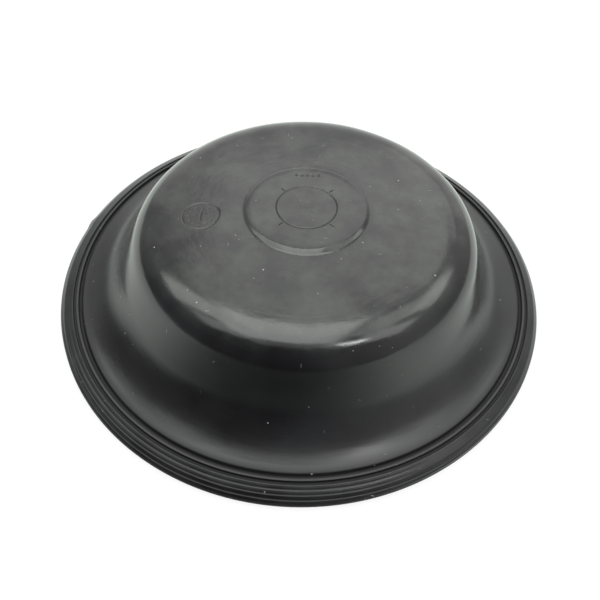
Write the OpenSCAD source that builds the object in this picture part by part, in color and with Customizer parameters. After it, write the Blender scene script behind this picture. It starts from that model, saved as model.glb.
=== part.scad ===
// Diaphragm of an air brake chamber: one moulded rubber cup with a wedge-shaped bead round its mouth.
// Millimetres, +Z up. The origin is the centre of the bead's flat seat, under the crown.
// The cup is one section turned round +Z. Its arcs run tangent into the straight stretches.

/* [Overall] */
// Outer diameter of the bead, without the flash
flange_d = 206; // [160:1:250]
// Height from the bead's seat to the top of the pad on the crown
total_h = 42.6; // [38:0.2:60]
// Thickness of the rubber in the crown, the wall and the flare
wall_t = 3.2; // [2:0.1:5]

/* [Cup] */
// Outside radius of the shoulder between crown and wall
shoulder_r = 15.5; // [8:0.5:20]
// Lean of the wall from upright, in degrees
wall_draft = 14.5; // [5:0.5:25]
// Outside radius of the hollow flare between wall and bead
flare_r = 21; // [12:0.5:26]

/* [Pad on the crown] */
// Diameter of the raised pad at its foot
pad_d = 50; // [30:1:70]
// Height of the pad above the crown
pad_rise = 0.8; // [0.4:0.1:2]
// Width of the pad's sloping edge
pad_edge_w = 1.8; // [0.5:0.1:4]

/* [Bead] */
// Height of the bead at its thickest place
bead_h = 6.8; // [5.5:0.1:10]
// Height of the upright edge face at the outside
edge_h = 3.4; // [2.5:0.1:4.5]
// Width of the sloping clamp face
slope_w = 5.5; // [3:0.1:9]
// Width of the flat seat under the bead
seat_w = 13; // [10:0.5:16]
// Lean of the seat's inner side from upright, in degrees
heel_lean = 30; // [10:1:45]
// Radius in the corner between the seat's inner side and the flare
heel_r = 3; // [1:0.5:6]
// Radius of the edge between seat and edge face
seat_edge_r = 0.8; // [0.3:0.1:1.2]

/* [Sealing ridge] */
// Width of the outer groove, at the head of the clamp face
outer_groove_w = 1.2; // [0.5:0.1:1.5]
// Depth of the outer groove
outer_groove_depth = 1; // [0.3:0.1:1.2]
// Width of the ridge between the two grooves
ridge_w = 1.1; // [0.8:0.1:2.5]
// Height of the ridge above the bead
ridge_rise = 0.2; // [0.1:0.05:0.6]
// Width of the inner groove
inner_groove_w = 1.6; // [0.8:0.1:2.5]
// Depth of the inner groove
inner_groove_depth = 1.4; // [0.5:0.1:1.8]
// Width of the level land between the inner groove and the flare
land_w = 0.6; // [0.3:0.1:3]

/* [Grip rings and flash] */
// Number of shallow grip rings in the clamp face
ring_count = 3; // [0:1:3]
// Distance from one grip ring to the next, along the face
ring_pitch = 1.7; // [1.2:0.1:1.9]
// Radius of the round cutter that leaves a grip ring
ring_cut_r = 0.6; // [0.3:0.05:0.8]
// Depth of a grip ring
ring_depth = 0.2; // [0.1:0.05:0.3]
// Height of the mould's parting line above the seat
flash_z = 1.7; // [1.5:0.1:2.2]
// Thickness of the flash left at the parting line
flash_t = 0.3; // [0.2:0.05:0.5]
// How far the flash stands out of the edge face
flash_out = 0.2; // [0.1:0.05:0.5]

/* [Hidden] */
// How far a cutter runs past the surface that it cuts
past = 1;
arc_steps = 120;
turn_steps = 240;

// Radii along the bead, from its outside inwards
flange_r = flange_d / 2;
slope_top_r = flange_r - slope_w;
ridge_out_r = slope_top_r - outer_groove_w;
ridge_in_r = ridge_out_r - ridge_w;
land_out_r = ridge_in_r - inner_groove_w;
flare_foot_r = land_out_r - land_w;
seat_in_r = flange_r - seat_w;

// The wall leans between two circles, and its line runs on to the crown's plane at crown_edge
wall_normal = [cos(wall_draft), sin(wall_draft)];
wall_run = [-sin(wall_draft), cos(wall_draft)];
crown_h = total_h - pad_rise;
flare_c = [flare_foot_r, bead_h + flare_r];
wall_foot = flare_c - flare_r * wall_normal;
crown_edge = wall_foot + (crown_h - wall_foot[1]) / wall_run[1] * wall_run;
shoulder_reach = shoulder_r * tan(45 - wall_draft / 2);
shoulder_c = crown_edge - [shoulder_reach, shoulder_r];

// The heel's corner is a circle that touches the heel's line and the flare's underside
under_r = flare_r + wall_t;
heel_run = [-sin(heel_lean), cos(heel_lean)];
heel_normal = [-cos(heel_lean), -sin(heel_lean)];
heel_foot = [seat_in_r, 0];
heel_gap = heel_foot + heel_r * heel_normal - flare_c;
heel_back = heel_gap * heel_run;
heel_rise = -heel_back - sqrt(heel_back * heel_back - heel_gap * heel_gap + pow(under_r + heel_r, 2));
heel_c = heel_foot + heel_rise * heel_run + heel_r * heel_normal;
heel_on_line = heel_c - heel_r * heel_normal;
heel_on_flare = heel_c + heel_r * (flare_c - heel_c) / norm(flare_c - heel_c);

// The clamp face falls from the head of its slope to the top of the edge face
slope_angle = atan2(bead_h - edge_h, slope_w);
slope_len = norm([slope_w, bead_h - edge_h]);

// The outside of the section, still sharp at the shoulder and full in the flare
module outside_blank() {
    polygon([
        [0, 0],
        [flange_r, 0],
        [flange_r, flash_z - flash_t / 2],
        [flange_r + flash_out, flash_z - flash_t / 2],
        [flange_r + flash_out, flash_z + flash_t / 2],
        [flange_r, flash_z + flash_t / 2],
        [flange_r, edge_h],
        [slope_top_r, bead_h],
        [ridge_out_r, bead_h],
        [ridge_out_r, bead_h + ridge_rise],
        [ridge_in_r, bead_h + ridge_rise],
        [ridge_in_r, bead_h],
        [flare_foot_r, bead_h],
        wall_foot,
        crown_edge,
        [pad_d / 2, crown_h],
        [pad_d / 2 - pad_edge_w, total_h],
        [0, total_h]
    ]);
}

// The hollow under the cup, sharp in the same places, with the heel as its outer side
module hollow_blank() {
    inner_crown_edge = crown_edge - wall_t * [tan(45 - wall_draft / 2), 1];
    polygon([
        [0, -past],
        [0, crown_h - wall_t],
        inner_crown_edge,
        wall_foot - wall_t * wall_normal,
        [flare_foot_r, bead_h - wall_t],
        heel_foot + bead_h * heel_run,
        heel_foot - past * heel_run
    ]);
}

// What comes off a sharp shoulder to leave its round, at a surface inset from the outside
module shoulder_cut(inset) {
    round_r = shoulder_r - inset;
    difference() {
        polygon([
            shoulder_c,
            shoulder_c + [0, round_r + past],
            shoulder_c + [round_r + past, round_r + past],
            shoulder_c + (round_r + past) * wall_normal
        ]);
        translate(shoulder_c) circle(r = round_r, $fn = arc_steps);
    }
}

// What comes off under the flare to leave its hollow, at a surface inset from the outside
module flare_cut(inset) {
    translate(flare_c) circle(r = flare_r + inset, $fn = arc_steps);
}

// What stays out of the hollow to round its corner above the heel
module heel_keep() {
    difference() {
        polygon([
            heel_on_line,
            heel_on_line + past * [1, 0],
            heel_on_flare + past * [1, 1],
            heel_on_flare + past * [0, 1],
            heel_on_flare
        ]);
        translate(heel_c) circle(r = heel_r, $fn = arc_steps);
    }
}

module hollow() {
    difference() {
        hollow_blank();
        shoulder_cut(wall_t);
        flare_cut(wall_t);
        heel_keep();
    }
}

// A groove with a round bottom, cut down from the bead's top
module groove_cut(in_r, width, depth) {
    translate([in_r + width / 2, bead_h - depth + width / 2]) circle(d = width, $fn = arc_steps);
    translate([in_r, bead_h - depth + width / 2]) square([width, depth + past]);
}

// Round cuts along the clamp face, which leave its grip rings
module ring_cuts() {
    translate([slope_top_r, bead_h]) rotate(-slope_angle)
        for (i = [1 : 1 : ring_count])
            if (i * ring_pitch + ring_cut_r < slope_len)
                translate([i * ring_pitch, ring_cut_r - ring_depth]) circle(r = ring_cut_r, $fn = arc_steps);
}

// What comes off to round the edge between seat and edge face
module seat_edge_cut() {
    difference() {
        translate([flange_r - seat_edge_r, -past]) square(seat_edge_r + past);
        translate([flange_r - seat_edge_r, seat_edge_r]) circle(r = seat_edge_r, $fn = arc_steps);
    }
}

// Half of the section, right of the axis
module section() {
    difference() {
        outside_blank();
        shoulder_cut(0);
        flare_cut(0);
        hollow();
        groove_cut(ridge_out_r, outer_groove_w, outer_groove_depth);
        groove_cut(land_out_r, inner_groove_w, inner_groove_depth);
        ring_cuts();
        seat_edge_cut();
    }
}

module diaphragm() {
    color("#2f3231") rotate_extrude($fn = turn_steps) section();
}

diaphragm();
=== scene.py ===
"""A moulded rubber diaphragm of an air brake chamber, on a plain pale floor.

The cup and its clamping bead are one skin: a section with rounded corners, carried round the axis.
Lengths are in metres and angles in radians. +Z is up, and the origin is the centre of the bead's seat.
"""

import bpy
import numpy as np
from mathutils import Matrix, Vector


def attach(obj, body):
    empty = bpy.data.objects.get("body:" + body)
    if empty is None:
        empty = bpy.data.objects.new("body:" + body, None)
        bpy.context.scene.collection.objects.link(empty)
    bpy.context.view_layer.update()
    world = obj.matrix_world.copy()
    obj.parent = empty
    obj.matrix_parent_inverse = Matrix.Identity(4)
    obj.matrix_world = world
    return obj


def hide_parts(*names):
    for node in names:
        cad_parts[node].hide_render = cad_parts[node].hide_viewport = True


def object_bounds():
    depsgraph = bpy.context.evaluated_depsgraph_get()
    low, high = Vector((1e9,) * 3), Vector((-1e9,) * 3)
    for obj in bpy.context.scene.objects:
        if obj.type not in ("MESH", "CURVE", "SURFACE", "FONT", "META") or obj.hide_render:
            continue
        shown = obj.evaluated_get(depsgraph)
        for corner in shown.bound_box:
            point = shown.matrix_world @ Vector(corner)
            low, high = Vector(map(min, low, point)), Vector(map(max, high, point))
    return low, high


bl_info = {
    "name": "Moulded brake diaphragm",
    "version": (1, 0, 0),
    "blender": (4, 5, 0),
    "location": "3D View > Sidebar > Diaphragm",
    "description": "Builds a moulded rubber brake chamber diaphragm and its stage",
    "category": "Object",
}

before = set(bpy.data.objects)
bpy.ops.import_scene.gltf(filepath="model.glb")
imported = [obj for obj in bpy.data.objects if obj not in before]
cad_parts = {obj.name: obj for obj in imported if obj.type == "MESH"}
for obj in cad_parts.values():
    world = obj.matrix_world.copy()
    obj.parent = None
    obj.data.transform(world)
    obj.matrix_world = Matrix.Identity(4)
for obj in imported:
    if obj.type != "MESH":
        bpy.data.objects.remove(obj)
CAD_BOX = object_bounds()
CAD_HEIGHT = CAD_BOX[1].z - CAD_BOX[0].z

MM = 0.001
TURN = 2 * np.pi

# How finely the section and the skin are divided
ARC_STEPS = 24
READ_STEP = 0.02 * MM
READ_AZIMUTHS = 20001
SKIN_ROWS = 288
SKIN_COLUMNS = 336
# Length between rows outside, in the hollow, at the marks and on the clamp face
OUTSIDE_PITCH = 2.2 * MM
HOLLOW_PITCH = 5 * MM
MARK_PITCH = 0.22 * MM
SLOPE_PITCH = 0.2 * MM
# Turn between rows, and between columns in general, at the pips, at the ticks and at the stamp
ROW_TURN = np.radians(20)
COLUMN_TURN = np.radians(1.5)
PIP_TURN = np.radians(0.6)
TICK_TURN = np.radians(0.55)
STAMP_TURN = np.radians(0.36)
# How far the closer rows and columns reach: past a tick's end, in pip radii and in half widths of a line
TICK_MARGIN = 0.7 * MM
PIP_BAND = 1.6
LINE_BAND = 2.0
TICK_BAND = 2.5

# Where the clamp face's knee lies between its ends, and the rounding of groove floors in groove widths
KNEE_PLACE = 0.6
INNER_ROUNDING = 0.3
OUTER_ROUNDING = 0.49
# Depth below the top within which the crown's marks lie, in pad rises
CROWN_DEPTH = 1.5
# Gap between the pad's ring and its ticks, and how far a tick's end fades inside and outside its length
TICK_GAP = 0.6 * MM
TICK_FADE_IN = 0.2 * MM
TICK_FADE_OUT = 0.1 * MM
# Radius of the stamp's ring of dots and half length of its bar, in stamp radii
DOTS_PLACE = 0.68
BAR_REACH = 0.38

# Grip rings: the azimuth where they are clearest, and the cosines to it where they start and are clear
LAST_RING = (np.radians(-100), 0.35, 0.75)
UPPER_RINGS = (np.radians(-113), 0.6, 0.85)
# Depth of the upper rings in depths of the last ring
UPPER_DEPTH = 0.4
# How far a point of the clamp face may lie under the straight line between the face's ends
SLOPE_SLACK = 0.05 * MM
# How far in from the edge the bead's waves start, and where they are full
WAVES_START = 17 * MM
WAVES_FULL = 10 * MM
# Half the width of the gate stub, along the edge
GATE_REACH = 4.5 * MM
# How far in from the bead the flare hangs lower, and sines of the azimuth where that starts and is full
SAG_REACH = 25 * MM
SAG_SINES = (-0.55, -0.15)
# Share by which the pad's edge is narrower at the sides and the back than in front
PAD_SQUEEZE = 0.45
# Distance from the pad's edge within which that is full, and where it ends
SQUEEZE_FULL = 1.5 * MM
SQUEEZE_END = 5 * MM
# Sines towards the front where the pad's edge starts to widen and has its full width
FRONT_SINES = (0.2, 0.85)
# Distance from the pad within which the crown's skin moves with it fully, and where that ends
SHIFT_FULL = 1 * MM
SHIFT_END = 16 * MM
# Unevenness of the soft moulding: wavelength, number of waves, seed of their draw and size as a share
UNEVEN_SPAN = 45 * MM
UNEVEN_COUNT = 12
UNEVEN_SEED = 3
UNEVEN_SHARE = 0.0008

# How dark with painted shade, and how dull, the marks, grip rings and the ridge's top are, as shares of a
# deep groove's painted shade
MARK_PAINTED_SHADE = 1.6
RING_PAINTED_SHADE = 0.8
RIDGE_PAINTED_SHADE = 0.45
# Middle of the band of ridge and grooves inside the clamp face, and half its width, in ridge widths
GROOVES_PLACE = 2.0
GROOVES_REACH = 2.2
# Depth where a groove's painted shade starts, and share of the outer groove's depth where that painted
# shade is darkest
PAINTED_SHADE_START = 0.1 * MM
PAINTED_SHADE_FULL = 0.9
# Radius of the ring on which the lay of the mould's turned skin is measured
LAY_R = 80 * MM

# Noise values between which bloom and the film's clouds come in, and the clouds' size and fine parts
BLOOM_NOISE = (0.35, 0.68)
CLOUD_NOISE = (0.40, 0.66)
CLOUD = 14 * MM
CLOUD_FINE = 0.62
# Heights between which the film starts to lie
FILM_FOOT = 37 * MM
FILM_HEAD = 40.5 * MM
# Litter: name, turn and stretch of its pattern, cell, largest spot, and share of cells with a spot
LITTER = (
    ("dust", (0, 0, 0), (1, 1, 1), 5.2 * MM, 0.36 * MM, 0.6),
    ("crumbs", (0, 0, 0), (1, 1, 1), 2.1 * MM, 0.2 * MM, 0.13),
    ("scratches", (0.4, 0.3, 0.9), (1, 14, 1), 17 * MM, 1.1 * MM, 0.4),
    ("scrapes", (0.2, 0.5, -0.5), (16, 1, 1), 19 * MM, 1.0 * MM, 0.4),
)
# How much of its own colour the litter shows
LITTER_SHOWN = 0.6
# Heights below which the mould left the skin duller and above which it is polished
DULL_TOP = 14 * MM
POLISH_FOOT = 30 * MM
# Roughness that the dull skin, the bead, bloom, litter and marks add
DULL_ADDS = 0.13
BEAD_ADDS = 0.02
BLOOM_ADDS = 0.05
LITTER_ADDS = 0.4
MARK_ADDS = 0.5
# Lengths of the lay's ripple and grain, the grain's height in ripple heights, and the stretch of both
RIPPLE = 13 * MM
GRAIN = 2.6 * MM
GRAIN_HEIGHT = 0.12
LAY_STRETCH = 4.0

# Height of the lamp panels. One brighter than BRIGHT hangs lower than the large ones by the drop
LAMP_HEIGHT = 1.0
BRIGHT = 10.0
LAMP_DROP = 0.03
# The studio's lamp panels: name, middle (x, y) and size in metres, radiance and colour
LAMPS = (
    ("top_panel", (-0.03, 0.30), (0.47, 0.56), 3.9, (0.96, 1.0, 0.95)),
    ("top_front", (-0.13, -0.14), (0.68, 0.32), 3.5, (0.98, 1.0, 0.99)),
    ("front_soft", (-0.02, -0.42), (0.70, 0.24), 0.8, (1.0, 1.0, 1.0)),
    ("left_panel", (-0.74, 0.24), (0.98, 0.43), 2.8, (0.96, 1.0, 0.96)),
    ("left_front", (-0.55, -0.25), (0.70, 0.36), 1.7, (0.98, 1.0, 0.98)),
    ("right_inner", (0.42, 0.17), (0.34, 0.56), 1.8, (0.96, 1.0, 0.96)),
    ("right_panel", (0.88, 0.34), (0.56, 0.52), 2.7, (0.96, 1.0, 0.96)),
    ("right_front", (0.72, -0.30), (0.70, 0.40), 2.2, (0.99, 1.0, 0.99)),
    ("small_lamp", (0.36, -0.40), (0.22, 0.10), 15.0, (1.0, 1.0, 1.0)),
    ("back_panel", (0.10, 0.98), (0.74, 0.62), 1.0, (0.97, 1.0, 0.95)),
    ("back_right", (0.60, 1.30), (0.60, 0.60), 0.7, (0.98, 1.0, 0.95)),
)
# Colour of white light
PLAIN = (1.0, 1.0, 1.0, 1.0)
# The room's even light
ROOM_LEVEL = 0.02
# The room's wide lobes: middle, the cosines to it where the lobe starts and is full, and strength
ROOM_LOBES = (
    ((0.10, 0.97, 0.20), 0.60, 0.98, 0.68),
    ((0.00, 0.80, 0.60), 0.10, 0.95, 0.58),
    ((0.95, -0.05, 0.30), 0.55, 0.97, 0.40),
    ((-0.95, 0.00, 0.30), 0.55, 0.97, 0.10),
    ((0.70, -0.65, 0.30), 0.70, 0.98, 0.30),
)
FLOOR_SIDES = 64
# The floor's paint to the lamps and to the camera, and its tint in reflections
FLOOR_GREY = "#b4b4b4"
FLOOR_WHITE = "#fafafa"
FLOOR_TINT = "#f8fff9"
# How much of the floor shines by itself to the camera. The rest shows the shadow
FLOOR_SHINES = 0.86
# The side on which painted shade dims the floor's glow in reflections
DIM_SIDE = (-0.2, -0.98, 0.0)
# Cosines to the dim side where the painted shade starts and is darkest, and the floor's glow levels there
DIM_COSINES = (0.5, 1.0)
DIM_LEVELS = (1.3, 0.14)


def linear(code):
    """A colour for a shader from an sRGB hex code: each channel c goes to ((c + 0.055) / 1.055) ** 2.4."""
    srgb = np.array([int(code[i:i + 2], 16) for i in (1, 3, 5)]) / 255
    low = srgb / 12.92
    high = ((srgb + 0.055) / 1.055) ** 2.4
    return (*np.where(srgb <= 0.04045, low, high).tolist(), 1.0)


def length_field(name, default, description):
    """A length."""
    return bpy.props.FloatProperty(name=name, description=description, default=default, unit="LENGTH")


def lengths_field(name, default, description):
    """A row of lengths."""
    return bpy.props.FloatVectorProperty(
        name=name, description=description, default=default, size=len(default), unit="LENGTH",
    )


def angle_field(name, default, description):
    """An angle."""
    return bpy.props.FloatProperty(
        name=name, description=description, default=default, unit="ROTATION", subtype="ANGLE",
    )


def colour_field(name, default, description):
    """A colour with its alpha."""
    return bpy.props.FloatVectorProperty(
        name=name, description=description, default=default, size=4, subtype="COLOR", min=0.0, max=1.0,
    )


class CupSizes(bpy.types.PropertyGroup):
    """The cup: crown, pad, shoulder, wall and flare."""

    height: length_field("Height", CAD_HEIGHT, "From the bead's seat to the top of the pad")
    wall_t: length_field("Wall", 3.2 * MM, "Thickness of the rubber in the crown, the wall and the flare")
    shoulder_r: length_field("Shoulder radius", 15.5 * MM, "Outside radius between crown and wall")
    wall_draft: angle_field("Wall draft", np.radians(26), "Lean of the wall from upright")
    flare_r: length_field(
        "Flare radius",
        28.3 * MM,
        "Outside radius of the hollow flare between wall and bead",
    )
    flare_end: angle_field(
        "Flare end",
        np.radians(15),
        "Slope that the flare still has where it meets the bead",
    )
    flare_sag: length_field(
        "Flare sag",
        1.3 * MM,
        "How far the flare hangs lower at the sides and the back than in front",
    )
    pad_d: length_field("Pad diameter", 50 * MM, "Diameter of the raised pad at its foot")
    pad_rise: length_field("Pad rise", 0.8 * MM, "Height of the pad above the crown")
    pad_edge_w: length_field("Pad edge", 1.8 * MM, "Width of the pad's sloping edge")
    pad_round: length_field(
        "Pad edge rounding",
        1.5 * MM,
        "Radius at the head and the foot of the pad's edge",
    )
    crown_shift: lengths_field(
        "Crown shift",
        (1.65 * MM, -1.2 * MM),
        "How far the crown of this soft cup has moved sideways over its bead",
    )
    crown_shrink: bpy.props.FloatProperty(
        name="Crown shrink",
        description="Share by which the crown has shrunk more than its bead",
        default=0.007,
        subtype="FACTOR",
    )
    crown_dome: length_field("Crown dome", 0.4 * MM, "How far the crown's rim lies below its middle")
    pad_shift: lengths_field(
        "Pad shift",
        (-0.1 * MM, 2.1 * MM),
        "Where the pad's middle lies from the crown's middle",
    )


class BeadSizes(bpy.types.PropertyGroup):
    """The wedge-shaped bead round the cup's mouth."""

    flange_d: length_field("Outer diameter", 206 * MM, "Diameter of the edge face, without the flash")
    bead_h: length_field("Bead height", 6.8 * MM, "Height of the bead at its thickest place")
    edge_h: length_field("Edge height", 3.4 * MM, "Height of the upright edge face")
    slope_w: length_field("Clamp face", 5.5 * MM, "Width of the sloping clamp face")
    seat_w: length_field("Seat", 13 * MM, "Width of the flat seat under the bead")
    heel_lean: angle_field("Heel lean", np.radians(30), "Lean of the seat's inner side from upright")
    heel_r: length_field(
        "Heel radius",
        3 * MM,
        "Radius in the corner between the heel and the flare's underside",
    )
    seat_edge_r: length_field("Seat edge radius", 0.8 * MM, "Radius between seat and edge face")
    edge_round: length_field(
        "Edge rounding",
        0.25 * MM,
        "Radius that moulding leaves on the bead's small edges",
    )
    slope_bulge: length_field(
        "Clamp face bulge",
        0.45 * MM,
        "How far the clamp face stands out of the straight line between its ends",
    )
    ring_waves: lengths_field(
        "Ring waves",
        (0.07 * MM, -0.37 * MM, -0.03 * MM, -0.17 * MM, 0.22 * MM, -0.02 * MM),
        "How far the rings lie out of round: cosine and sine parts of 1, 2 and 3 waves a turn",
    )
    edge_waves: lengths_field(
        "Edge waves",
        (-0.42 * MM, -0.16 * MM, -0.07 * MM, -0.18 * MM, 0.17 * MM, 0.13 * MM),
        "How far the edge lies out of round: cosine and sine parts of 1, 2 and 3 waves a turn",
    )
    outer_groove_w: length_field(
        "Outer groove",
        1.2 * MM,
        "Width of the groove at the head of the clamp face",
    )
    outer_groove_depth: length_field("Outer groove depth", 1.0 * MM, "Depth of the outer groove")
    ridge_w: length_field("Sealing ridge", 1.1 * MM, "Width of the ridge between the two grooves")
    ridge_rise: length_field("Ridge rise", 0.2 * MM, "Height of the ridge above the bead")
    inner_groove_w: length_field("Inner groove", 1.6 * MM, "Width of the groove beside the flare")
    inner_groove_depth: length_field("Inner groove depth", 1.4 * MM, "Depth of the inner groove")
    land_w: length_field(
        "Land",
        0.6 * MM,
        "Width of the straight land between the inner groove and the flare",
    )
    land_round: length_field("Land rounding", 0.8 * MM, "Radius between the land and the inner groove")
    groove_lean: length_field(
        "Groove lean",
        0.55 * MM,
        "How far the inner groove's inner side leans out on its way down",
    )
    ring_count: bpy.props.IntProperty(
        name="Grip rings",
        description="Number of shallow rings in the clamp face",
        default=3,
        min=1,
        max=3,
    )
    ring_pitch: length_field(
        "Ring pitch",
        1.7 * MM,
        "Distance from one grip ring to the next, along the face",
    )
    ring_w: length_field("Ring width", 0.45 * MM, "Half width of a grip ring")
    ring_depth: length_field("Ring depth", 0.2 * MM, "Depth of a grip ring")
    flash_z: length_field("Parting line", 1.7 * MM, "Height of the mould's parting line above the seat")
    flash_t: length_field("Flash thickness", 0.3 * MM, "Thickness of the flash at the parting line")
    flash_out: length_field("Flash reach", 0.2 * MM, "How far the flash stands out of the edge face")
    gate_azimuth: angle_field(
        "Gate azimuth",
        np.radians(164.2),
        "Direction of the trimmed stub that the mould's gate left on the edge",
    )
    gate_out: length_field("Gate stub", 0.7 * MM, "How far the trimmed gate stub stands out of the edge")


class MarkSizes(bpy.types.PropertyGroup):
    """The plain mould marks in the crown."""

    depth: length_field("Depth", 0.3 * MM, "Depth of the marks")
    line_w: length_field("Line", 0.3 * MM, "Half width of an engraved line")
    ring_r: length_field("Pad ring", 12.2 * MM, "Radius of the ring in the pad")
    tick_count: bpy.props.IntProperty(
        name="Ticks",
        description="Number of ticks outside the ring",
        default=4,
        min=1,
    )
    tick_len: length_field("Tick length", 2.4 * MM, "Length of a tick outside the ring")
    pip_r: length_field("Pip radius", 0.6 * MM, "Radius of a pip in the row behind the ring")
    pip_pitch: length_field("Pip pitch", 2.3 * MM, "Distance from one pip to the next")
    pip_row_r: length_field("Pip row", 19 * MM, "Distance of the row of pips from the pad's middle")
    pip_reach: bpy.props.IntProperty(
        name="Pips each side",
        description="Number of pips on each side of the middle one",
        default=2,
        min=0,
    )
    stamp_r: length_field("Stamp radius", 7.2 * MM, "Radius of the round mould insert's ring")
    stamp_place_r: length_field("Stamp place", 41.7 * MM, "Distance of the stamp from the crown's middle")
    stamp_azimuth: angle_field(
        "Stamp azimuth",
        np.radians(-174.6),
        "Direction of the stamp from the crown's middle",
    )
    stamp_dots: bpy.props.IntProperty(
        name="Stamp dots",
        description="Number of dots round the inside of the stamp",
        default=12,
        min=1,
    )


class RubberFinish(bpy.types.PropertyGroup):
    """Colours and gloss of the moulded rubber."""

    deep: colour_field("Deep black", linear("#141315"), "Colour of the clean rubber")
    bloom: colour_field("Bloom", linear("#222224"), "Colour of the rubber under its thin grey bloom")
    film: colour_field(
        "Film",
        linear("#353734"),
        "Colour of the dust film that lies in patches on the crown",
    )
    dust: colour_field("Dust", linear("#b9b9b2"), "Colour of dust specks and fine scratches")
    # Painted shade: the dark colour put into the marks, grip rings, grooves and the ridge's top
    recess_painted_shade: colour_field("Recess", linear("#0e0e0e"), "Colour down in the marks and grooves")
    ior: bpy.props.FloatProperty(
        name="IOR",
        description="Index of refraction of the rubber",
        default=1.56,
        min=1.0,
        max=2.5,
    )
    roughness: bpy.props.FloatProperty(
        name="Roughness",
        description="Roughness of the polished crown and shoulder",
        default=0.14,
        subtype="FACTOR",
        min=0.0,
        max=1.0,
    )


class StageSettings(bpy.types.PropertyGroup):
    """Camera, floor and lamps."""

    distance: length_field("Camera distance", 265.8 * MM, "From the camera to the point that it aims at")
    elevation: angle_field("Camera elevation", np.radians(51.64), "Angle at which the camera looks down")
    roll: angle_field("Camera roll", np.radians(1.8), "Turn of the camera about its view")
    aim: lengths_field(
        "Camera aim",
        (0.1 * MM, -10.1 * MM, -2.9 * MM),
        "The point that the camera aims at",
    )
    lens: bpy.props.FloatProperty(
        name="Lens",
        description="Focal length in millimetres on a 36 mm sensor",
        default=36.0,
    )
    floor_r: length_field("Floor", 6.0, "Radius of the floor")


def unit(vectors):
    """Each vector divided by its length."""
    return vectors / np.linalg.norm(vectors, axis=-1, keepdims=True)


def fade(value, start, end):
    """0 below start and 1 above end, with 3t^2 - 2t^3 between them."""
    share = np.clip((value - start) / (end - start), 0.0, 1.0)
    return share * share * (3.0 - 2.0 * share)


def heading_of(vectors):
    """The angle of each plane vector from the first axis."""
    return np.arctan2(vectors[..., 1], vectors[..., 0])


def rounded_path(corners, radii):
    """Points and headings of a polyline whose inner corners are arcs.

    At a corner, u and v point to its neighbours and h is half the angle between them. The arc's centre
    lies on their bisector, radius / sin(h) away, and the arc sweeps a quarter turn less h to each side.
    """
    corners = np.asarray(corners, float)
    radii = np.asarray(radii, float)[:, None]
    to_last = unit(corners[:-2] - corners[1:-1])
    to_next = unit(corners[2:] - corners[1:-1])
    half = np.arccos(np.clip(np.sum(to_last * to_next, axis=1), -1.0, 1.0))[:, None] / 2
    bisector = unit(to_last + to_next)[:, None, :]
    onwards = unit(to_next - to_last)[:, None, :]
    sweep = (np.linspace(-1.0, 1.0, ARC_STEPS) * (np.pi / 2 - half))[..., None]
    centre = corners[1:-1, None, :] + bisector * (radii / np.sin(half))[..., None]
    arcs = centre + radii[..., None] * (onwards * np.sin(sweep) - bisector * np.cos(sweep))
    along = onwards * np.cos(sweep) + bisector * np.sin(sweep)
    points = np.vstack([corners[:1], arcs.reshape(-1, 2), corners[-1:]])
    headings = heading_of(along).ravel()
    return points, np.concatenate([headings[:1], headings, headings[-1:]])


def arc_path(centre, start, end):
    """Points and headings of the shorter arc from start to end about centre."""
    first, last = np.unwrap(heading_of(np.array([start, end]) - centre))
    angle = np.linspace(first, last, ARC_STEPS)
    radius = np.linalg.norm(np.asarray(start) - centre)
    points = centre + radius * np.stack([np.cos(angle), np.sin(angle)], axis=1)
    return points, angle + np.copysign(np.pi / 2, last - first)


def land_radius(bead):
    """Radius of the edge between the inner groove and the land."""
    return bead.flange_d / 2 - bead.slope_w - bead.outer_groove_w - bead.ridge_w - bead.inner_groove_w


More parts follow.
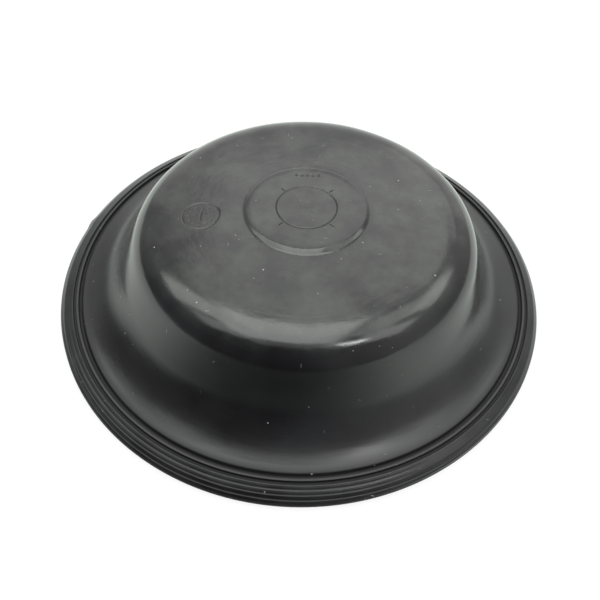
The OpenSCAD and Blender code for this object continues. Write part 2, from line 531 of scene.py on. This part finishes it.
def section_path(cup, bead):
    """Points (radius, height) and headings of the closed section, from the crown's middle over the
    outside, the bead and the seat, and back through the hollow to the axis.

    The land beside the inner groove slopes by flare_end, and the flare's circle touches it. The wall is a
    line that leans by wall_draft and touches that circle. Shoulder and flare are the arcs that round the
    wall's corners with the crown's plane and with the land. The hollow follows at wall_t.
    """
    crown_h = cup.height - cup.pad_rise
    pad_r = cup.pad_d / 2
    flange_r = bead.flange_d / 2
    slope_top_r = flange_r - bead.slope_w
    ridge_out_r = slope_top_r - bead.outer_groove_w
    ridge_in_r = ridge_out_r - bead.ridge_w
    land_out_r = land_radius(bead)
    ridge_h = bead.bead_h + bead.ridge_rise
    inner_floor = bead.bead_h - bead.inner_groove_depth
    outer_floor = bead.bead_h - bead.outer_groove_depth
    flash_low = bead.flash_z - bead.flash_t / 2
    flash_high = bead.flash_z + bead.flash_t / 2

    sine, cosine = np.sin(cup.wall_draft), np.cos(cup.wall_draft)
    normal, run = np.array([cosine, sine]), np.array([-sine, cosine])
    land_edge = np.array([land_out_r, bead.bead_h])
    end_run = np.array([np.cos(cup.flare_end), -np.sin(cup.flare_end)])
    end_up = np.array([np.sin(cup.flare_end), np.cos(cup.flare_end)])
    flare_c = land_edge - bead.land_w * end_run + cup.flare_r * end_up
    wall_foot = flare_c - cup.flare_r * normal
    crown_edge = wall_foot + (crown_h - wall_foot[1]) / run[1] * run
    flare_corner = wall_foot + ((land_edge - wall_foot) @ end_up) / (run @ end_up) * run

    heel_foot = np.array([flange_r - bead.seat_w, 0.0])
    heel_run = np.array([-np.sin(bead.heel_lean), np.cos(bead.heel_lean)])
    heel_side = -np.array([np.cos(bead.heel_lean), np.sin(bead.heel_lean)])
    under_r = cup.flare_r + cup.wall_t
    gap = heel_foot + bead.heel_r * heel_side - flare_c
    back = gap @ heel_run
    rise = -back - np.sqrt(back**2 - gap @ gap + (under_r + bead.heel_r) ** 2)
    heel_c = heel_foot + rise * heel_run + bead.heel_r * heel_side
    heel_on_line = heel_c - bead.heel_r * heel_side
    heel_on_flare = heel_c + bead.heel_r * unit(flare_c - heel_c)

    slope_run = np.array([bead.slope_w, bead.edge_h - bead.bead_h])
    slope_up = unit(np.array([-slope_run[1], slope_run[0]]))
    knee = np.array([slope_top_r, bead.bead_h]) + KNEE_PLACE * slope_run + bead.slope_bulge * slope_up
    small = bead.edge_round
    tiny = bead.flash_t / 4
    outside = [
        ((pad_r - cup.pad_edge_w, cup.height), cup.pad_round),
        ((pad_r, crown_h), cup.pad_round),
        (crown_edge, cup.shoulder_r),
        (flare_corner, cup.flare_r),
        (tuple(land_edge), bead.land_round),
        ((land_out_r + bead.groove_lean, inner_floor), INNER_ROUNDING * bead.inner_groove_w),
        ((ridge_in_r, inner_floor), INNER_ROUNDING * bead.inner_groove_w),
        ((ridge_in_r, ridge_h), small),
        ((ridge_out_r, ridge_h), small),
        ((ridge_out_r, outer_floor), OUTER_ROUNDING * bead.outer_groove_w),
        ((slope_top_r, outer_floor), OUTER_ROUNDING * bead.outer_groove_w),
        ((slope_top_r, bead.bead_h), small),
        (tuple(knee), bead.slope_w / 2),
        ((flange_r, bead.edge_h), small),
        ((flange_r, flash_high), tiny),
        ((flange_r + bead.flash_out, flash_high), tiny),
        ((flange_r + bead.flash_out, flash_low), tiny),
        ((flange_r, flash_low), tiny),
        ((flange_r, 0.0), bead.seat_edge_r),
        (heel_foot, small),
    ]
    corners = [(0.0, cup.height), *[place for place, _ in outside], heel_on_line]
    wall_inside = wall_foot - cup.wall_t * normal
    crown_under = (0.0, crown_h - cup.wall_t)
    crown_inside = crown_edge - cup.wall_t * np.array([np.tan(np.pi / 4 - cup.wall_draft / 2), 1.0])
    stretches = [
        rounded_path(corners, [radius for _, radius in outside]),
        arc_path(heel_c, heel_on_line, heel_on_flare),
        arc_path(flare_c, heel_on_flare, wall_inside),
        rounded_path([wall_inside, crown_inside, crown_under], [cup.shoulder_r - cup.wall_t]),
    ]
    points = np.vstack([stretch[0] for stretch in stretches])
    return points, np.unwrap(np.concatenate([stretch[1] for stretch in stretches]))


def spread(position, density, count):
    """count positions with an equal share of the density between each and the next."""
    step = np.diff(position) * (density[1:] + density[:-1]) / 2
    share = np.concatenate([[0.0], np.cumsum(step)])
    return np.interp(np.linspace(0.0, share[-1], count), share, position)


def crown_part(height, outside, cup):
    """Which rows lie on the crown or the pad."""
    return outside & (height > cup.height - CROWN_DEPTH * cup.pad_rise)


def skin_rows(cup, bead, marks):
    """Radius and height of each row of the skin, its distance along the section, and if it is outside.

    A row comes after every ROW_TURN of turning and after every pitch of length, and the pitch is finer
    across the marks and on the clamp face.
    """
    points, heading = section_path(cup, bead)
    length = np.concatenate([[0.0], np.cumsum(np.linalg.norm(np.diff(points, axis=0), axis=1))])
    at = np.arange(0.0, length[-1], READ_STEP)
    radius = np.interp(at, length, points[:, 0])
    height = np.interp(at, length, points[:, 1])
    turning = np.abs(np.gradient(np.interp(at, length, heading), at))
    outside = at < at[np.argmax(height < READ_STEP)]
    pad_band = np.abs(radius - marks.ring_r - marks.tick_len / 2) < marks.tick_len / 2 + TICK_MARGIN
    pip_band = np.abs(radius - marks.pip_row_r) < PIP_BAND * marks.pip_r
    stamp_band = np.abs(radius - marks.stamp_place_r) < marks.stamp_r + LINE_BAND * marks.line_w
    marked = crown_part(height, outside, cup) & (pad_band | pip_band | stamp_band)
    slope = outside & (radius > bead.flange_d / 2 - bead.slope_w) & (height > bead.edge_h)
    pitch = np.where(outside, OUTSIDE_PITCH, HOLLOW_PITCH)
    pitch = np.where(marked, MARK_PITCH, pitch)
    pitch = np.where(slope, SLOPE_PITCH, pitch)
    rows = spread(at, 1.0 / pitch + turning / ROW_TURN, SKIN_ROWS)
    return np.interp(rows, at, radius), np.interp(rows, at, height), rows, rows < at[np.argmax(~outside)]


def skin_columns(marks):
    """Azimuth of each column: one every COLUMN_TURN, and closer ones at the stamp, pips and ticks."""
    angle = np.linspace(-np.pi, np.pi, READ_AZIMUTHS)

    def near(azimuth, reach):
        return np.abs((angle - azimuth + np.pi) % TURN - np.pi) < reach

    stamp_reach = (marks.stamp_r + LINE_BAND * marks.line_w) / marks.stamp_place_r
    pip_reach = (marks.pip_reach + 0.5) * marks.pip_pitch / marks.pip_row_r
    tick_reach = TICK_BAND * marks.line_w / marks.ring_r
    tick_turn = TURN / marks.tick_count
    ticks = np.abs(angle % tick_turn - tick_turn / 2) < tick_reach
    turn = np.full_like(angle, COLUMN_TURN)
    turn = np.where(near(np.pi / 2, pip_reach), PIP_TURN, turn)
    turn = np.where(ticks, TICK_TURN, turn)
    turn = np.where(near(marks.stamp_azimuth, stamp_reach), STAMP_TURN, turn)
    return spread(angle, 1.0 / turn, SKIN_COLUMNS + 1)[:-1]


def groove(distance, half_width):
    """Share of the full depth across an engraved line: (1 - (distance / half width)^2)^1.5."""
    return np.clip(1.0 - (distance / half_width) ** 2, 0.0, 1.0) ** 1.5


def waves(points, wavelength, count, seed):
    """A smooth uneven field of about unit size: a sum of sines that run in seeded directions."""
    draw = np.random.default_rng(seed)
    runs = unit(draw.normal(size=(count, 3))) * TURN / wavelength * draw.uniform(0.7, 1.4, (count, 1))
    phase = draw.uniform(0.0, TURN, count)
    return np.sin(points @ runs.T + phase).sum(axis=-1) / np.sqrt(count / 2)


def pad_marks(radius, azimuth, marks):
    """A ring with ticks outside it and a row of pips behind it, as shares of the full depth."""
    tick_turn = TURN / marks.tick_count
    aside = radius * np.sin(azimuth % tick_turn - tick_turn / 2)
    half = marks.tick_len / 2
    from_middle = np.abs(radius - marks.ring_r - half - TICK_GAP)
    tick_end = 1.0 - fade(from_middle, half - TICK_FADE_IN, half + TICK_FADE_OUT)
    ticks = groove(aside, marks.line_w) * tick_end
    across, behind = radius * np.cos(azimuth), radius * np.sin(azimuth)
    nearest = np.clip(np.round(across / marks.pip_pitch), -marks.pip_reach, marks.pip_reach)
    pips = groove(np.hypot(across - nearest * marks.pip_pitch, behind - marks.pip_row_r), marks.pip_r)
    return np.maximum.reduce([groove(radius - marks.ring_r, marks.line_w), ticks, pips])


def stamp_marks(radius, azimuth, marks):
    """A round mould insert: a ring, a ring of dots inside it and a bar across its middle."""
    place = marks.stamp_place_r * np.array([np.cos(marks.stamp_azimuth), np.sin(marks.stamp_azimuth)])
    across = radius * np.cos(azimuth) - place[0]
    behind = radius * np.sin(azimuth) - place[1]
    out, angle = np.hypot(across, behind), np.arctan2(behind, across)
    dot_turn = TURN / marks.stamp_dots
    dot_r = DOTS_PLACE * marks.stamp_r
    nearest = np.round(angle / dot_turn) * dot_turn
    from_dot = np.hypot(across - dot_r * np.cos(nearest), behind - dot_r * np.sin(nearest))
    dots = groove(from_dot, marks.line_w)
    bar = groove(across, marks.line_w) * (np.abs(behind) < BAR_REACH * marks.stamp_r)
    return np.maximum.reduce([groove(out - marks.stamp_r, marks.line_w), dots, bar])


def put_mesh(name, points, faces, sizes):
    """A mesh object from vertex points, the faces' vertex numbers in one row, and each face's size."""
    mesh = bpy.data.meshes.new(name)
    mesh.vertices.add(len(points))
    mesh.vertices.foreach_set("co", points.ravel())
    mesh.loops.add(len(faces))
    mesh.loops.foreach_set("vertex_index", faces)
    mesh.polygons.add(len(sizes))
    mesh.polygons.foreach_set("loop_start", np.cumsum(sizes) - sizes)
    mesh.polygons.foreach_set("use_smooth", np.ones(len(sizes), bool))
    mesh.update(calc_edges=True)
    mesh.validate()
    piece = bpy.data.objects.new(name, mesh)
    bpy.context.scene.collection.objects.link(piece)
    return piece


def wrap(rings, columns):
    """Faces of a surface of rings of points that closes round, with one pole point before the first ring
    and one after the last: triangles at the poles and quads between, outwards where the rings run from
    the top outwards and the columns run anticlockwise."""
    ring = 1 + columns * np.arange(rings)[:, None]
    here = np.arange(columns)[None, :]
    onward = (here + 1) % columns
    quads = np.stack([
        ring[:-1] + here,
        ring[1:] + here,
        ring[1:] + onward,
        ring[:-1] + onward,
    ], axis=-1).reshape(-1, 4)
    first = np.zeros_like(here)
    last = np.full_like(here, 1 + columns * rings)
    top = np.stack([first, ring[:1] + here, ring[:1] + onward], axis=-1).reshape(-1, 3)
    foot = np.stack([last, ring[-1:] + onward, ring[-1:] + here], axis=-1).reshape(-1, 3)
    faces = np.concatenate([top.ravel(), quads.ravel(), foot.ravel()])
    sizes = np.concatenate([np.full(len(top), 3), np.full(len(quads), 4), np.full(len(foot), 3)])
    return faces, sizes


def clearness(azimuth, place):
    """How clear a feature is: it fades in by the cosine to the azimuth where it is clearest."""
    clearest, start, full = place
    return fade(np.cos(azimuth - clearest), start, full)


def grip_rings(radius, height, outside, azimuth, bead):
    """Depth share of the clamp face's grip rings at each row and column, and the face's normal.

    A ring lies after every pitch down the straight line between the face's ends. The last ring goes
    furthest round, and the ones above it are shallower.
    """
    slope_top = np.array([bead.flange_d / 2 - bead.slope_w, bead.bead_h])
    slope_run = unit(np.array([bead.slope_w, bead.edge_h - bead.bead_h]))
    slope_up = np.array([-slope_run[1], slope_run[0]])
    from_top = np.stack([radius, height], axis=1) - slope_top
    down = from_top @ slope_run
    on_slope = outside & (down > 0.0) & (from_top @ slope_up > -SLOPE_SLACK)
    nearest = np.clip(np.round(down / bead.ring_pitch), 1, bead.ring_count)
    rings = on_slope * groove(down - nearest * bead.ring_pitch, bead.ring_w)
    last = nearest[:, None] == bead.ring_count
    upper = UPPER_DEPTH * clearness(azimuth, UPPER_RINGS)
    return rings[:, None] * np.where(last, clearness(azimuth, LAST_RING), upper), slope_up


def bead_offset(radius, azimuth, bead):
    """How far the bead lies outside its round section, at each row and column.

    The rings and the edge are out of round by sums of cosines and sines of 1, 2 and 3 waves a turn, and
    between them the offset goes from the one to the other. The gate's stub stands out of the edge.
    """
    flange_r = bead.flange_d / 2
    waving = np.arange(1, 4)[:, None] * azimuth
    parts = np.stack([np.cos(waving), np.sin(waving)], axis=1).reshape(6, -1)
    ring_out = np.array(bead.ring_waves) @ parts
    edge_out = np.array(bead.edge_waves) @ parts
    to_rings = fade(radius, flange_r - WAVES_START, flange_r - WAVES_FULL)[:, None]
    to_edge = np.clip((radius - flange_r + bead.slope_w) / bead.slope_w, 0.0, 1.0)[:, None]
    stub = bead.gate_out * to_edge**2 * groove((azimuth - bead.gate_azimuth) * flange_r, GATE_REACH)
    return to_rings * (ring_out + to_edge * (edge_out - ring_out)) + stub


def flare_drop(radius, height, outside, azimuth, cup, bead):
    """How far the flare hangs lower: by sin^2 of the way in from the bead, and everywhere but in front."""
    inwards = np.clip((land_radius(bead) - radius) / SAG_REACH, 0.0, 1.0)
    hanging = np.sin(np.pi * inwards) ** 2 * np.where(outside, 1.0, fade(height, 0.0, bead.bead_h))
    return cup.flare_sag * hanging[:, None] * fade(np.sin(azimuth), *SAG_SINES)


def pad_narrowing(radius, crown, azimuth, cup):
    """How far the skin beside the pad's edge moves towards that edge, except in front."""
    from_edge = radius - cup.pad_d / 2
    at_edge = crown & (np.abs(from_edge) < SQUEEZE_END)
    near_edge = at_edge * (1.0 - fade(np.abs(from_edge), SQUEEZE_FULL, SQUEEZE_END))
    steep = 1.0 - fade(-np.sin(azimuth), *FRONT_SINES)
    return (PAD_SQUEEZE * from_edge * near_edge)[:, None] * steep


def groove_painted_shade(radius, height, outside, bead):
    """How much painted shade each row gets: the grooves' floors most, the ridge's top between them less.
    """
    band_r = bead.flange_d / 2 - bead.slope_w - GROOVES_PLACE * bead.ridge_w
    in_band = outside & (np.abs(radius - band_r) < GROOVES_REACH * bead.ridge_w)
    depth = bead.bead_h - height
    cavity = in_band * fade(depth, PAINTED_SHADE_START, PAINTED_SHADE_FULL * bead.outer_groove_depth)
    return np.maximum(cavity, RIDGE_PAINTED_SHADE * (in_band & (depth < PAINTED_SHADE_START)))


def skin_surface(cup, bead, marks):
    """Vertex points of the skin, the painted shade of marks, rings, grooves and the ridge's top at each,
    its place along the mould's turned lay, and which rows are bead.

    The rows are carried round the axis. The bead goes out of round and gets its grip rings and gate stub,
    the flare hangs lower, the marks go down and the pad's edge narrows. Then the crown shrinks, moves
    sideways over the bead and domes by the square of the radius, and the raised skin takes up a soft
    moulding's unevenness.
    """
    radius, height, along, outside = skin_rows(cup, bead, marks)
    azimuth = skin_columns(marks)[None, :]
    plan = radius[:, None] + 0.0 * azimuth
    crown = crown_part(height, outside, cup)
    rings, slope_up = grip_rings(radius, height, outside, azimuth, bead)
    mark = crown[:, None] * np.maximum(pad_marks(plan, azimuth, marks), stamp_marks(plan, azimuth, marks))

    sunk = bead.ring_depth * rings
    out = plan - sunk * slope_up[0] + bead_offset(radius, azimuth, bead)
    out = out - pad_narrowing(radius, crown, azimuth, cup)
    up = height[:, None] - sunk * slope_up[1] - flare_drop(radius, height, outside, azimuth, cup, bead)
    up = up - marks.depth * mark

    raised = fade(height, bead.bead_h, cup.height - cup.pad_rise)[:, None]
    with_pad = crown[:, None] * (1.0 - fade(plan - cup.pad_d / 2, SHIFT_FULL, SHIFT_END))
    narrowed = out * (1.0 - raised * cup.crown_shrink)
    x = narrowed * np.cos(azimuth) + raised * cup.crown_shift[0] + with_pad * cup.pad_shift[0]
    y = narrowed * np.sin(azimuth) + raised * cup.crown_shift[1] + with_pad * cup.pad_shift[1]
    up = up - raised * cup.crown_dome * np.minimum(plan / (cup.pad_d + cup.shoulder_r / 2), 1.0) ** 2
    grid = np.stack([x, y, up], axis=-1)
    uneven = raised * waves(grid, UNEVEN_SPAN, UNEVEN_COUNT, UNEVEN_SEED)
    grid = grid * (1.0 + UNEVEN_SHARE * uneven[..., None])

    # Painted shade for the colour: deepest in the grooves' floors, the engraved marks and the grip rings,
    # and less on the ridge's top
    shade = groove_painted_shade(radius, height, outside, bead)[:, None] + 0.0 * azimuth
    painted_shade = np.maximum.reduce([np.minimum(MARK_PAINTED_SHADE * mark, 1.0), shade, RING_PAINTED_SHADE * rings])
    lay = np.stack([
        LAY_R * np.cos(azimuth) + 0.0 * plan,
        LAY_R * np.sin(azimuth) + 0.0 * plan,
        along[:, None] + 0.0 * plan,
    ], axis=-1)

    def flat(values):
        """One point for the first and the last row, which lie on the axis, and all points between."""
        return np.concatenate([values[0, :1], values[1:-1].reshape(-1, *values.shape[2:]), values[-1, :1]])

    bead_rows = (radius > land_radius(bead) + bead.inner_groove_w / 2) | (height < bead.edge_h)
    return flat(grid), flat(painted_shade), flat(lay), bead_rows[1:-1]


def add(tree, kind, inputs=None, **settings):
    """Adds a node. settings are its properties, and inputs are its sockets' values or feeding sockets."""
    node = tree.nodes.new(kind)
    for name, value in settings.items():
        setattr(node, name, value)
    for socket, value in (inputs or {}).items():
        if isinstance(value, bpy.types.NodeSocket):
            tree.links.new(value, node.inputs[socket])
        else:
            node.inputs[socket].default_value = value
    return node


def maths(tree, operation, *values, **settings):
    """The result of a Math node on two or three values or sockets."""
    return add(tree, "ShaderNodeMath", dict(enumerate(values)), operation=operation, **settings).outputs[0]


def span(tree, value, start, end, low=0.0, high=1.0, kind="LINEAR"):
    """low where the value is at start, high where it is at end, and no further beyond them."""
    inputs = {0: value, 1: start, 2: end, 3: low, 4: high}
    return add(tree, "ShaderNodeMapRange", inputs, interpolation_type=kind).outputs[0]


def dot(tree, first, second):
    """The dot product of two vectors."""
    node = add(tree, "ShaderNodeVectorMath", {0: first, 1: second}, operation="DOT_PRODUCT")
    return node.outputs["Value"]


def blend(tree, share, first, second):
    """A colour that goes from the first to the second by a share."""
    return add(tree, "ShaderNodeMix", {0: share, 6: first, 7: second}, data_type="RGBA").outputs[2]


def noise(tree, vector, size, detail, fine=0.5):
    """Noise in patches of a size. fine is each finer layer's share of the one before."""
    inputs = {"Vector": vector, "Scale": 1 / size, "Detail": detail, "Roughness": fine}
    return add(tree, "ShaderNodeTexNoise", inputs).outputs[0]


def stretched(tree, vector, turn, stretch):
    """The place in a pattern that is turned and stretched."""
    inputs = {"Vector": vector, "Rotation": turn, "Scale": stretch}
    return add(tree, "ShaderNodeMapping", inputs).outputs[0]


def specks(tree, vector, cell, reach, share):
    """1 in a spot round a cell's point, for a share of all cells. reach is the largest radius."""
    cells = add(tree, "ShaderNodeTexVoronoi", {"Vector": vector, "Scale": 1 / cell}).outputs
    draw = add(tree, "ShaderNodeSeparateColor", {0: cells["Color"]}).outputs
    size = maths(tree, "MULTIPLY", draw[1], reach / cell)
    inside = maths(tree, "LESS_THAN", cells["Distance"], size)
    chosen = maths(tree, "LESS_THAN", draw[0], share)
    return maths(tree, "MULTIPLY", inside, chosen)


def empty_material(name):
    """A node material without nodes, and its tree."""
    material = bpy.data.materials.new(name)
    material.use_nodes = True
    material.node_tree.nodes.clear()
    return material, material.node_tree


def rubber_skin(name, finish, roughness, patch, unevenness):
    """Moulded rubber. Noise patches of bloom lighten it, and a film of dust lies in clouds on the crown.
    Specks and short scratches lie on all of it. Marks, rings, grooves and the ridge's top get painted
    shade and are dull, the skin below the shoulder is duller than the polished crown, and the turned
    mould's lay leaves it uneven."""
    material, tree = empty_material(name)
    place = add(tree, "ShaderNodeTexCoord").outputs["Object"]
    height = add(tree, "ShaderNodeSeparateXYZ", {0: place}).outputs[2]
    lay = add(tree, "ShaderNodeAttribute", attribute_name="lay").outputs["Vector"]
    # mark carries the painted shade of the marks, grip rings, grooves and the ridge's top
    mark = add(tree, "ShaderNodeAttribute", attribute_name="mark").outputs["Fac"]

    bloom = span(tree, noise(tree, place, patch, detail=5.0), *BLOOM_NOISE)
    clouds = span(tree, noise(tree, place, CLOUD, detail=6.0, fine=CLOUD_FINE), *CLOUD_NOISE)
    film = maths(tree, "MULTIPLY", clouds, span(tree, height, FILM_FOOT, FILM_HEAD))
    litter = 0.0
    for kind, turn, stretch, cell, reach, share in LITTER:
        spots = specks(tree, stretched(tree, place, turn, stretch), cell, reach, share)
        litter = maths(tree, "MAXIMUM", litter, spots, label=kind)

    colour = blend(tree, bloom, finish.deep, finish.bloom)
    colour = blend(tree, film, colour, finish.film)
    colour = blend(tree, maths(tree, "MULTIPLY", litter, LITTER_SHOWN), colour, finish.dust)
    # Painted shade: darkens the colour where the mark attribute is high
    colour = blend(tree, mark, colour, finish.recess_painted_shade)

    rough = span(tree, height, DULL_TOP, POLISH_FOOT, roughness + DULL_ADDS, roughness)
    rough = maths(tree, "MULTIPLY_ADD", bloom, BLOOM_ADDS, rough)
    rough = maths(tree, "MULTIPLY_ADD", litter, LITTER_ADDS, rough)
    rough = maths(tree, "MULTIPLY_ADD", mark, MARK_ADDS, rough, use_clamp=True)

    drawn = stretched(tree, lay, (0, 0, 0), (1.0, 1.0, LAY_STRETCH))
    ripple = noise(tree, drawn, RIPPLE, detail=2.0)
    grain = noise(tree, drawn, GRAIN, detail=2.0)
    relief = maths(tree, "MULTIPLY_ADD", grain, GRAIN_HEIGHT, ripple)
    bump = add(tree, "ShaderNodeBump", {"Height": relief, "Distance": unevenness, "Strength": 1.0})
    shader = add(tree, "ShaderNodeBsdfPrincipled", {
        "Base Color": colour, "Roughness": rough, "IOR": finish.ior, "Normal": bump.outputs[0],
    })
    add(tree, "ShaderNodeOutputMaterial", {"Surface": shader.outputs[0]})
    return material


def moulded_rubber(finish):
    """The cup's rubber, from a polished mould: nearly black and glossy, with a thin grey bloom."""
    return rubber_skin("moulded_rubber", finish, finish.roughness, patch=26 * MM, unevenness=0.06 * MM)


def bead_rubber(finish):
    """The same rubber on the bead, where the mould's turned grooves leave it a little more matt."""
    roughness = finish.roughness + BEAD_ADDS
    return rubber_skin("bead_rubber", finish, roughness, patch=9 * MM, unevenness=0.05 * MM)


class DIAPHRAGM_OT_skin(bpy.types.Operator):
    """Build the moulded diaphragm: cup, bead, hollow and mould marks"""

    bl_idname = "object.diaphragm_skin"
    bl_label = "Build diaphragm"

    def execute(self, context):
        scene = context.scene
        points, marked, laid, bead_rows = skin_surface(scene.cup_sizes, scene.bead_sizes, scene.mark_sizes)
        faces, sizes = wrap(len(bead_rows), SKIN_COLUMNS)
        skin = put_mesh("diaphragm_skin", points, faces, sizes)
        # The mark attribute carries the painted shade of the marks, grip rings, grooves and the ridge's
        # top
        mark = skin.data.attributes.new("mark", "FLOAT", "POINT")
        mark.data.foreach_set("value", marked.astype(np.float32))
        lay = skin.data.attributes.new("lay", "FLOAT_VECTOR", "POINT")
        lay.data.foreach_set("vector", laid.astype(np.float32).ravel())
        skin.data.materials.append(moulded_rubber(scene.rubber_finish))
        skin.data.materials.append(bead_rubber(scene.rubber_finish))
        bead_faces = np.repeat(bead_rows[:-1] & bead_rows[1:], SKIN_COLUMNS)
        cap = np.zeros(SKIN_COLUMNS, bool)
        slots = np.concatenate([cap, bead_faces, cap]).astype(np.int32)
        skin.data.polygons.foreach_set("material_index", slots)
        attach(skin, "root")
        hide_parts("diaphragm")
        return {"FINISHED"}


def place_camera(stage):
    """The camera aims at a point and looks down along +Y, turned a little about its own view."""
    view = Vector((0.0, np.cos(stage.elevation), -np.sin(stage.elevation)))
    right = Vector((1.0, 0.0, 0.0))
    up = right.cross(view)
    side = np.cos(stage.roll) * right + np.sin(stage.roll) * up
    head = np.cos(stage.roll) * up - np.sin(stage.roll) * right
    camera = bpy.data.objects.new("camera", bpy.data.cameras.new("camera"))
    camera.data.sensor_width = 36.0
    camera.data.lens = stage.lens
    place = Vector(stage.aim) - view * stage.distance
    camera.matrix_world = Matrix.Translation(place) @ Matrix((side, head, -view)).transposed().to_4x4()
    bpy.context.scene.collection.objects.link(camera)
    bpy.context.scene.camera = camera


def panel_lamp(name, place, size, radiance, colour):
    """A flat lamp panel above the object that faces straight down. Its power in watts is its radiance
    times pi times its area."""
    lamp = bpy.data.lights.new(name, "AREA")
    lamp.shape = "RECTANGLE"
    lamp.size, lamp.size_y = size
    lamp.energy = radiance * np.pi * size[0] * size[1]
    lamp.color = colour
    panel = bpy.data.objects.new(name, lamp)
    panel.location = (*place, LAMP_HEIGHT - LAMP_DROP * (radiance > BRIGHT))
    bpy.context.scene.collection.objects.link(panel)


def studio_floor(stage):
    """A pale floor: matt grey to the lamps, white to the camera with a soft trace of the shadow, and
    white in reflections except in front, where painted shade dims its glow."""
    angle = np.linspace(0.0, TURN, FLOOR_SIDES + 1)[:-1]
    rim = stage.floor_r * np.stack([np.cos(angle), np.sin(angle), 0 * angle], axis=1)
    floor = put_mesh("floor", rim, np.arange(FLOOR_SIDES), np.array([FLOOR_SIDES]))
    material, tree = empty_material("painted_floor")
    path = add(tree, "ShaderNodeLightPath").outputs
    seen, mirrored = path["Is Camera Ray"], path["Is Glossy Ray"]
    paint = blend(tree, seen, linear(FLOOR_GREY), linear(FLOOR_WHITE))
    matt = add(tree, "ShaderNodeBsdfDiffuse", {"Color": paint}).outputs[0]
    place = add(tree, "ShaderNodeTexCoord").outputs["Object"]
    bearing = add(tree, "ShaderNodeVectorMath", {0: place}, operation="NORMALIZE").outputs[0]
    painted_front_shade = span(tree, dot(tree, bearing, DIM_SIDE), *DIM_COSINES, *DIM_LEVELS, kind="SMOOTHSTEP")
    level = add(tree, "ShaderNodeMix", {0: mirrored, 2: 1.0, 3: painted_front_shade}, data_type="FLOAT").outputs[0]
    tint = blend(tree, mirrored, PLAIN, linear(FLOOR_TINT))
    shine = add(tree, "ShaderNodeEmission", {"Color": tint, "Strength": level}).outputs[0]
    shining = maths(tree, "MULTIPLY_ADD", seen, FLOOR_SHINES, mirrored)
    mixed = add(tree, "ShaderNodeMixShader", {0: shining, 1: matt, 2: shine}).outputs[0]
    add(tree, "ShaderNodeOutputMaterial", {"Surface": mixed})
    floor.data.materials.append(material)


def studio_world():
    """A soft room, white to the camera. Each wide lobe of light is smooth in the cosine between the
    direction and its own middle."""
    world = bpy.data.worlds.new("studio_room")
    world.use_nodes = True
    tree = world.node_tree
    tree.nodes.clear()
    towards = add(tree, "ShaderNodeTexCoord").outputs["Generated"]
    level = ROOM_LEVEL
    for middle, start, full, strength in ROOM_LOBES:
        lobe = span(tree, dot(tree, towards, middle), start, full, 0.0, strength, "SMOOTHSTEP")
        level = maths(tree, "ADD", lobe, level)
    room = add(tree, "ShaderNodeBackground", {"Color": PLAIN, "Strength": level}).outputs[0]
    white = add(tree, "ShaderNodeBackground", {"Color": PLAIN, "Strength": 1.0}).outputs[0]
    seen = add(tree, "ShaderNodeLightPath").outputs["Is Camera Ray"]
    mixed = add(tree, "ShaderNodeMixShader", {0: seen, 1: room, 2: white}).outputs[0]
    add(tree, "ShaderNodeOutputWorld", {"Surface": mixed})
    bpy.context.scene.world = world


class DIAPHRAGM_OT_stage(bpy.types.Operator):
    """Set up the pale floor, the studio lamps and the camera"""

    bl_idname = "scene.diaphragm_stage"
    bl_label = "Set up stage"

    def execute(self, context):
        stage = context.scene.stage_settings
        studio_floor(stage)
        studio_world()
        for lamp in LAMPS:
            panel_lamp(*lamp)
        place_camera(stage)
        context.scene.view_settings.view_transform = "Standard"
        return {"FINISHED"}


class DIAPHRAGM_PT_panel(bpy.types.Panel):
    """The diaphragm's sizes and steps"""

    bl_idname = "DIAPHRAGM_PT_panel"
    bl_label = "Diaphragm"
    bl_space_type = "VIEW_3D"
    bl_region_type = "UI"
    bl_category = "Diaphragm"

    def draw(self, context):
        for title, group in GROUPS.items():
            box = self.layout.box()
            box.label(text=group.__doc__)
            settings = getattr(context.scene, title)
            for name in group.__annotations__:
                box.prop(settings, name)
        for operator in OPERATORS:
            self.layout.operator(operator.bl_idname)


GROUPS = {
    "cup_sizes": CupSizes,
    "bead_sizes": BeadSizes,
    "mark_sizes": MarkSizes,
    "rubber_finish": RubberFinish,
    "stage_settings": StageSettings,
}
OPERATORS = (DIAPHRAGM_OT_skin, DIAPHRAGM_OT_stage)
CLASSES = (*GROUPS.values(), *OPERATORS, DIAPHRAGM_PT_panel)


def register():
    for each in CLASSES:
        bpy.utils.register_class(each)
    for name, group in GROUPS.items():
        setattr(bpy.types.Scene, name, bpy.props.PointerProperty(type=group))


def unregister():
    for name in GROUPS:
        delattr(bpy.types.Scene, name)
    for each in reversed(CLASSES):
        bpy.utils.unregister_class(each)


def main():
    register()
    bpy.ops.object.diaphragm_skin()
    bpy.ops.scene.diaphragm_stage()


if __name__ == "__main__":
    main()
